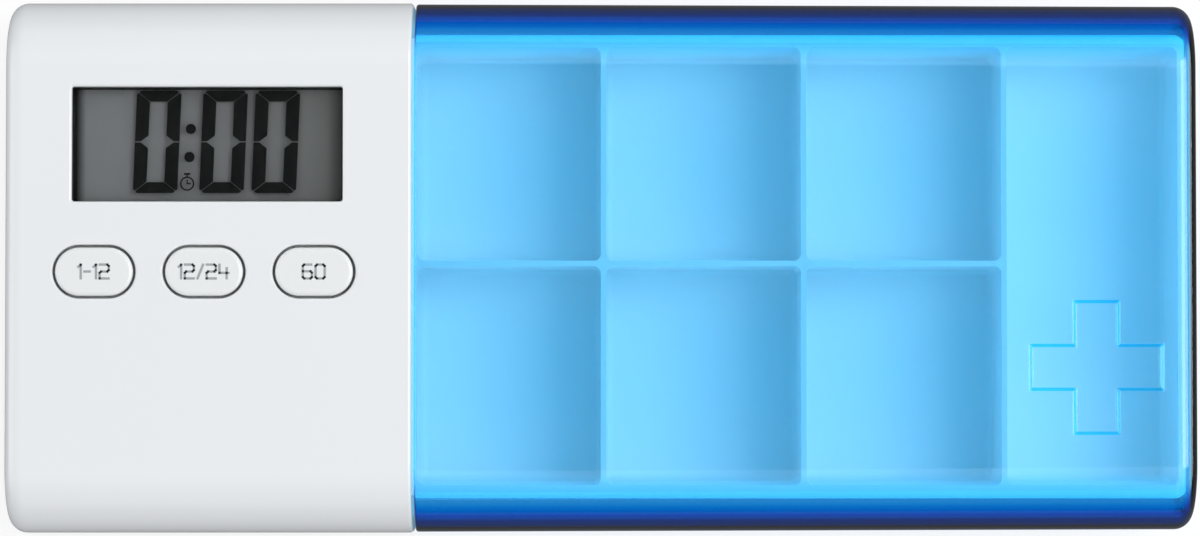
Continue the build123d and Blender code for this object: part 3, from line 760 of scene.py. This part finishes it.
@dataclass
class Lettering:
    """Plain single-stroke numbers, drawn as thin inked bars."""

    height: float
    stroke: float
    sunk: float = 0.05
    below_top: float = 0.001
    gap: float = 0.26
    reach: float = 0.42

    def glyph(self, sign: str) -> list[Array]:
        """Strokes of one sign on a box 1 high, each as the corner points of a bent line.

        Args:
            sign: One of the signs that the keys need.

        Returns:
            The strokes, each as an array of n by 2.
        """
        strokes = {
            "0": [[(0.1, 0), (0, 0.1), (0, 0.9), (0.1, 1), (0.56, 1), (0.66, 0.9), (0.66, 0.1), (0.56, 0),
                   (0.1, 0)]],
            "1": [[(0, 0.84), (0.18, 1), (0.18, 0)]],
            "2": [[(0, 1), (0.56, 1), (0.66, 0.9), (0.66, 0.6), (0.56, 0.5), (0.1, 0.5), (0, 0.4), (0, 0),
                   (0.66, 0)]],
            "4": [[(0, 1), (0, 0.4), (0.66, 0.4)], [(0.52, 0.75), (0.52, 0)]],
            "6": [[(0.62, 1), (0.1, 1), (0, 0.9), (0, 0.1), (0.1, 0), (0.56, 0), (0.66, 0.1), (0.66, 0.42),
                   (0.56, 0.52), (0, 0.52)]],
            "-": [[(0.0, 0.5), (0.4, 0.5)]],
            "/": [[(0.0, 0.0), (0.4, 1.0)]],
        }
        return [np.array(line, dtype=float) for line in strokes[sign]]

    def bars(self, line: Array) -> Array:
        """Corners of a bar along each run of a bent line, half a stroke to each side and a little longer.

        Args:
            line: Corner points of the line, in mm.

        Returns:
            An array of runs by 4 by 2.
        """
        start, end = line[:-1], line[1:]
        along = (end - start) / np.linalg.norm(end - start, axis=1, keepdims=True)
        side = np.stack([-along[:, 1], along[:, 0]], axis=1) * self.stroke / 2
        reach = along * self.stroke * self.reach
        return np.stack([start - reach - side, end + reach - side, end + reach + side, start - reach + side],
                        axis=1)

    def build(self, name: str, text: str, centre: Row, body: str) -> None:
        """Makes a number as one thin piece, its middle over a point.

        Args:
            name: The piece's name.
            text: The number.
            centre: Where its middle lies, in mm, at the height of the rim round the surface.
            body: The body that it rides on.
        """
        lines, cursor = [], 0.0
        for sign in text:
            strokes = [line * self.height for line in self.glyph(sign)]
            width = max(float(line[:, 0].max()) for line in strokes)
            lines += [line + np.array([cursor, 0.0]) for line in strokes]
            cursor += width + self.gap * self.height
        shift = np.array([centre[0] - (cursor - self.gap * self.height) / 2, centre[1] - self.height / 2])
        corners = np.concatenate([self.bars(line + shift) for line in lines])
        build_plates(name, corners, (centre[2] - self.sunk, centre[2] - self.below_top), body,
                     Stuff.PRINT)


def build_plates(name: str, corners: Array, heights: Pair, body: str, stuff: Stuff,
                 stands_for: tuple[str, ...] = ()) -> None:
    """Makes flat plates of one outline length as one piece: each outline is raised between two heights.

    Args:
        name: The piece's name.
        corners: Outlines as an array of plates by corners by 2, anticlockwise from above, in mm.
        heights: Bottom and top, in mm.
        body: The body that carries it.
        stuff: Its finish.
        stands_for: CAD nodes that it replaces.
    """
    count, sides = corners.shape[:2]
    low = np.concatenate([corners, np.full((count, sides, 1), heights[0])], axis=-1)
    high = np.concatenate([corners, np.full((count, sides, 1), heights[1])], axis=-1)
    points = np.concatenate([low, high], axis=1).reshape(-1, 3)
    one = loft_faces(2, sides)
    faces = [[index + plate * 2 * sides for index in face] for plate in range(count) for face in one]
    make_piece(name, points, faces, body, stuff, stands_for)


@dataclass
class Display:
    """The liquid crystal display: grey field, slanted seven-segment digits and small marks over it."""

    centre: Pair = (-44.07, 13.605)
    window: Pair = (30.2, 12.75)
    glass: Pair = (31.8, 14.75)
    glass_bottom: float = 14.6
    field_top: float = 15.75
    segment_top: float = 16.27
    segment_depth: float = 0.05
    digit_centres: Row = (-49.83, -42.37, -36.5)
    digit_width: float = 5.0
    digit_height: float = 11.5
    digit_middle: float = 13.95
    upright_stroke: float = 1.5
    level_stroke: float = 1.22
    mitre: float = 0.13
    chamfer: float = 0.42
    point: float = 0.65
    slant: float = 0.04
    colon: tuple[Pair, ...] = ((-46.05, 15.4), (-46.2, 12.25))
    colon_radius: float = 0.58
    clock: Pair = (-46.45, 9.25)
    clock_rim: Pair = (0.72, 0.17)
    clock_bars: tuple[Row, ...] = (
        (-0.07, -0.05, 0.07, 0.45), (0, -0.07, 0.4, 0.07), (-0.35, 0.98, 0.35, 1.2), (-0.08, 0.78, 0.08, 1))
    border_heights: Pair = (16.56, 16.59)
    border_widths: Row = (0.4, 0.06, 0.12, 0.2)

    def zero(self, x: float) -> Array:
        """The six lit segments of a nought, each of six corners.

        Outer and inner box share corners along 45 degree cuts, which are opened by a hair. The outer
        corners are cut off, the uprights end in points at half height, and a shear leans the figure.

        Args:
            x: The figure's middle along the case.

        Returns:
            An array of 6 by 6 by 2, anticlockwise.
        """
        w, h = self.digit_width / 2, self.digit_height / 2
        a, b, g, c, p = self.upright_stroke, self.level_stroke, self.mitre / 2, self.chamfer, self.point
        top = [(-w + c + g, h), (-w + c / 2 + g, h - c / 2), (-w + a + g, h - b), (w - a - g, h - b),
               (w - c / 2 - g, h - c / 2), (w - c - g, h)]
        right = [(w, g), (w, h - c), (w - c / 2, h - c / 2 - g), (w - a, h - b - g), (w - a, g + p),
                 (w - p, g)]
        quarter = np.array([top, right, [(-u, v) for u, v in right[::-1]]])
        lower = quarter[:, ::-1] * np.array([1.0, -1.0])
        shape = np.concatenate([quarter, lower])
        shape[..., 0] += self.slant * shape[..., 1] + x
        shape[..., 1] += self.digit_middle
        return shape

    def disc(self, x: float, y: float, radius: float, sides: int = 24) -> Array:
        """A filled round as an outline of equal sides.

        Args:
            x: Centre along the case.
            y: Centre across it.
            radius: Radius in mm.
            sides: Number of sides.

        Returns:
            An array of 1 by sides by 2.
        """
        angle = np.linspace(0.0, 2 * math.pi, sides, endpoint=False)
        return np.stack([x + radius * np.cos(angle), y + radius * np.sin(angle)], axis=-1)[None]

    def band(self, x: float, y: float, radius: float, stroke: float, sides: int = 28) -> Array:
        """A ring of short bars, as the rim of the small clock mark.

        Args:
            x: Centre along the case.
            y: Centre across it.
            radius: Middle radius in mm.
            stroke: Width of the rim.
            sides: Number of bars.

        Returns:
            An array of sides by 4 by 2.
        """
        outer, inner = (self.disc(x, y, radius + side, sides)[0] for side in (stroke / 2, -stroke / 2))
        return np.stack([inner, outer, np.roll(outer, -1, axis=0), np.roll(inner, -1, axis=0)], axis=1)

    def boxes(self, *limits: Row) -> Array:
        """Upright boxes in plan.

        Args:
            limits: Left, low, right and high limit of each box, in mm.

        Returns:
            An array of boxes by 4 by 2, anticlockwise.
        """
        edges = np.array(limits)
        return edges[:, [[0, 1], [2, 1], [2, 3], [0, 3]]]

    def border(self) -> None:
        """The black print under the lens, wide at the left end and a hair elsewhere."""
        x, y = self.centre
        half_x, half_y = self.window[0] / 2, self.window[1] / 2
        left, right, low, high = x - half_x, x + half_x, y - half_y, y + half_y
        at_left, at_low, at_right, at_high = self.border_widths
        strips = self.boxes((left, low, left + at_left, high), (left, high - at_high, right, high),
                            (right - at_right, low, right, high), (left, low, right, low + at_low))
        build_plates("display_border", strips, self.border_heights, "head", Stuff.SEGMENT)

    def build(self) -> None:
        """Makes the cell, the figures and the marks, and dresses the pieces round them."""
        half = np.array(self.glass) / 2
        x, y = self.centre
        box = self.boxes((x - half[0], y - half[1], x + half[0], y + half[1]))
        build_plates("crystal_field", box, (self.glass_bottom, self.field_top), "head",
                     Stuff.FIELD, ("display_panel",))
        marks = {
            "display_digits": [self.zero(x) for x in self.digit_centres],
            "display_colon": [self.disc(*spot, self.colon_radius) for spot in self.colon],
            "display_clock_mark": [self.band(*self.clock, *self.clock_rim),
                                   self.boxes(*self.clock_bars) + np.array(self.clock)]}
        heights = (self.segment_top - self.segment_depth, self.segment_top)
        for name, outlines in marks.items():
            build_plates(name, np.concatenate(outlines), heights, "head", Stuff.SEGMENT)
        self.border()
        for node, stuff in (("display_window", Stuff.LENS), ("display_gasket", Stuff.FOAM),
                            ("display_rear_film", Stuff.FILM), ("display_holder", Stuff.NYLON),
                            ("display_connector_strips", Stuff.ELASTOMER)):
            dress(node, stuff)


@dataclass
class DressedPieces:
    """Pieces that keep their CAD shapes, with the finish of each node."""

    finishes: dict[str, Stuff]

    def build(self) -> None:
        """Dresses the pieces."""
        for node, stuff in self.finishes.items():
            dress(node, stuff)


@dataclass
class Head(DressedPieces):
    """The case of the head with its door and screws."""

    finishes: dict[str, Stuff] = field(default_factory=lambda: {
        "head_top_shell": Stuff.CASE, "head_bottom_shell": Stuff.CASE, "battery_door": Stuff.CASE,
        "shell_screws": Stuff.SCREW})


@dataclass
class Tray(DressedPieces):
    """The white tray of seven cells, with its screws."""

    finishes: dict[str, Stuff] = field(default_factory=lambda: {
        "pill_tray": Stuff.TRAY, "tray_screws": Stuff.SCREW})


@dataclass
class Works(DressedPieces):
    """Board, cell and sounder inside the head."""

    finishes: dict[str, Stuff] = field(default_factory=lambda: {
        "circuit_board": Stuff.BOARD, "chip_blob": Stuff.RESIN, "crystal_can": Stuff.SCREW,
        "chip_resistors": Stuff.RESIN, "coil_inductor": Stuff.FERRITE, "board_screws": Stuff.SCREW,
        "battery_cell": Stuff.CAN, "battery_contact_negative": Stuff.STRIP,
        "battery_contact_positive": Stuff.STRIP, "sounder_disc": Stuff.BRASS,
        "sounder_ceramic": Stuff.CERAMIC, "sounder_seal": Stuff.FOAM, "sounder_leads": Stuff.VINYL})


@dataclass
class Lamp:
    """A soft square lamp that looks at the middle of the face.

    Attributes:
        name: The lamp's name.
        azimuth: Where it stands, in degrees from +X towards +Y.
        elevation: How high it stands, in degrees.
        distance: How far off, in metres.
        size: Side lengths in metres.
        power: Power in watts.
        mirrored: Whether gloss and clear plastic mirror its shape.
    """

    name: str
    azimuth: float
    elevation: float
    distance: float
    size: Pair
    power: float
    mirrored: bool = True

    def build(self) -> None:
        """Adds the lamp to the scene."""
        data = bpy.data.lights.new(self.name, "AREA")
        data.shape = "RECTANGLE"
        data.size, data.size_y = self.size
        data.energy = self.power
        lamp = bpy.data.objects.new(self.name, data)
        bpy.context.scene.collection.objects.link(lamp)
        turn, rise = math.radians(self.azimuth), math.radians(self.elevation)
        lamp.location = (self.distance * math.cos(rise) * math.cos(turn),
                         self.distance * math.cos(rise) * math.sin(turn), self.distance * math.sin(rise))
        lamp.rotation_euler = (math.pi / 2 - rise, 0.0, turn + math.pi / 2)
        lamp.visible_glossy = self.mirrored
        log.info("lamp %s at %.0f, %.0f degrees", self.name, self.azimuth, self.elevation)


@dataclass
class Studio:
    """Pale floor, soft lamps, plain surroundings and the camera of the photograph.

    The floor is white to the eye and a mid grey to the light, so that little light comes up from it. It
    glows by the given shares for the eye, through clear plastic and in gloss. The surroundings are a soft
    dome, brighter towards the two ends of the case than towards its long sides, with a dark patch straight
    above, where the camera stands.
    """

    camera_height: float = 0.500
    elevation: float = 88.0
    frame_width: float = 0.13408
    face: float = 0.019
    aim: Pair = (-0.0001, -0.0003)
    floor_side: float = 2.5
    floor_gap: float = 0.00005
    floor_colours: tuple[str, str] = ("#646668", "#FBFBFB")
    floor_glow: Row = (0.75, 0.5, 0.06)
    sky: str = "#FBFCFF"
    dome: float = 0.6
    horizon: float = 0.03
    dome_rise: Pair = (0.1, 0.75)
    ends: float = 3.8
    ends_power: float = 8.0
    patch: Pair = (0.98, 0.99)
    patch_level: float = 0.02
    lamps: tuple[Lamp, ...] = (
        Lamp("key_lamp", 10.0, 54.0, 1.0, (0.5, 0.62), 3.8),
        Lamp("back_softbox", 90.0, 26.0, 1.0, (1.2, 0.3), 3.6, False),
        Lamp("front_softbox", -90.0, 26.0, 1.0, (1.2, 0.3), 3.2, False),
    )

    def floor(self) -> None:
        """A pale floor that shows white to the eye and keeps the object's shadow."""
        side = self.floor_side
        mesh = bpy.data.meshes.new("floor")
        mesh.from_pydata([(-side, -side, 0), (side, -side, 0), (side, side, 0), (-side, side, 0)], [],
                         [(0, 1, 2, 3)])
        floor = bpy.data.objects.new("floor", mesh)
        floor.location.z = -self.floor_gap
        bpy.context.scene.collection.objects.link(floor)
        material = bpy.data.materials.new("pale_paper_floor")
        material.use_nodes = True
        tree = material.node_tree
        tree.nodes.clear()
        ray = add_node(tree, "LightPath")
        camera = ray.outputs["Is Camera Ray"]
        to_light, to_eye = map(linear, self.floor_colours)
        in_view, in_clear, in_gloss = self.floor_glow
        shade = add_node(tree, "Mix", RGBA, {"Factor": camera, 6: to_light, 7: to_eye})
        paper = add_node(tree, "BsdfDiffuse", inputs={"Color": shade})
        glow = add_node(tree, "Emission")
        glossy = add_node(tree, "Math", {"operation": "MULTIPLY"}, {
            0: ray.outputs["Is Glossy Ray"], 1: in_gloss})
        through = add_node(tree, "Math", {"operation": "MULTIPLY_ADD"}, {
            0: ray.outputs["Is Transmission Ray"], 1: in_clear, 2: glossy})
        share = add_node(tree, "Math", {"operation": "MULTIPLY_ADD"}, {0: camera, 1: in_view, 2: through})
        shown = add_node(tree, "MixShader", inputs={"Fac": share, 1: paper, 2: glow})
        add_node(tree, "OutputMaterial", inputs={"Surface": shown})
        mesh.materials.append(material)

    def surroundings(self) -> None:
        """Makes the dome.

        Its strength is a horizon level that eases up to the dome's level with the height of the direction,
        plus a share that goes with a high power of the direction's X, and both fade out straight above. The
        eye, also through clear plastic, sees plain white outside that patch.
        """
        world = bpy.data.worlds.new("soft_studio")
        bpy.context.scene.world = world
        world.use_nodes = True
        tree = world.node_tree
        tree.nodes.clear()
        way = add_node(tree, "TexCoord").outputs["Generated"]
        axes = add_node(tree, "SeparateXYZ", inputs={"Vector": way})
        height, along = axes.outputs["Z"], axes.outputs["X"]
        rise = add_node(tree, "MapRange", {"interpolation_type": "SMOOTHSTEP"}, {
            "Value": height, "From Min": self.dome_rise[0], "From Max": self.dome_rise[1],
            "To Min": self.horizon, "To Max": self.dome})
        side = add_node(tree, "Math", {"operation": "ABSOLUTE"}, {0: along})
        power = add_node(tree, "Math", {"operation": "POWER"}, {0: side, 1: self.ends_power})
        both = add_node(tree, "Math", {"operation": "MULTIPLY_ADD"}, {0: power, 1: self.ends, 2: rise})
        patch = add_node(tree, "MapRange", {"interpolation_type": "SMOOTHSTEP"}, {
            "Value": height, "From Min": self.patch[0], "From Max": self.patch[1], "To Min": 1.0,
            "To Max": self.patch_level})
        level = add_node(tree, "Math", {"operation": "MULTIPLY"}, {0: both, 1: patch})
        light = add_node(tree, "Background", inputs={"Color": linear(self.sky), "Strength": level})
        white = add_node(tree, "Background", inputs={"Color": WHITE, "Strength": patch})
        ray = add_node(tree, "LightPath")
        seen = add_node(tree, "Math", {"operation": "MAXIMUM"}, {
            0: ray.outputs["Is Camera Ray"], 1: ray.outputs["Is Transmission Ray"]})
        shown = add_node(tree, "MixShader", inputs={"Fac": seen, 1: light, 2: white})
        add_node(tree, "OutputWorld", inputs={"Surface": shown})

    def camera(self) -> None:
        """The camera: half a metre above the face, leaning two degrees towards the front."""
        data = bpy.data.cameras.new("camera")
        data.sensor_fit = "HORIZONTAL"
        data.lens = data.sensor_width * self.camera_height / self.frame_width
        camera = bpy.data.objects.new("camera", data)
        bpy.context.scene.collection.objects.link(camera)
        rise = math.radians(self.elevation)
        camera.location = (self.aim[0], self.aim[1] - self.camera_height * math.cos(rise),
                           self.face + self.camera_height * math.sin(rise))
        camera.rotation_euler = (math.pi / 2 - rise, 0.0, 0.0)
        bpy.context.scene.camera = camera

    def build(self) -> None:
        """Builds the studio."""
        self.floor()
        self.surroundings()
        for lamp in self.lamps:
            lamp.build()
        self.camera()
        bpy.context.scene.view_settings.view_transform = "Standard"


def main() -> None:
    """Builds the sub-assemblies in order."""
    logging.basicConfig(level=logging.INFO, format="%(name)s: %(message)s")
    for part in (Head(), Display(), Keys(), Works(), Tray(), Sleeve(), Studio()):
        log.info("building %s", type(part).__name__)
        part.build()


if __name__ == "__main__":
    main()
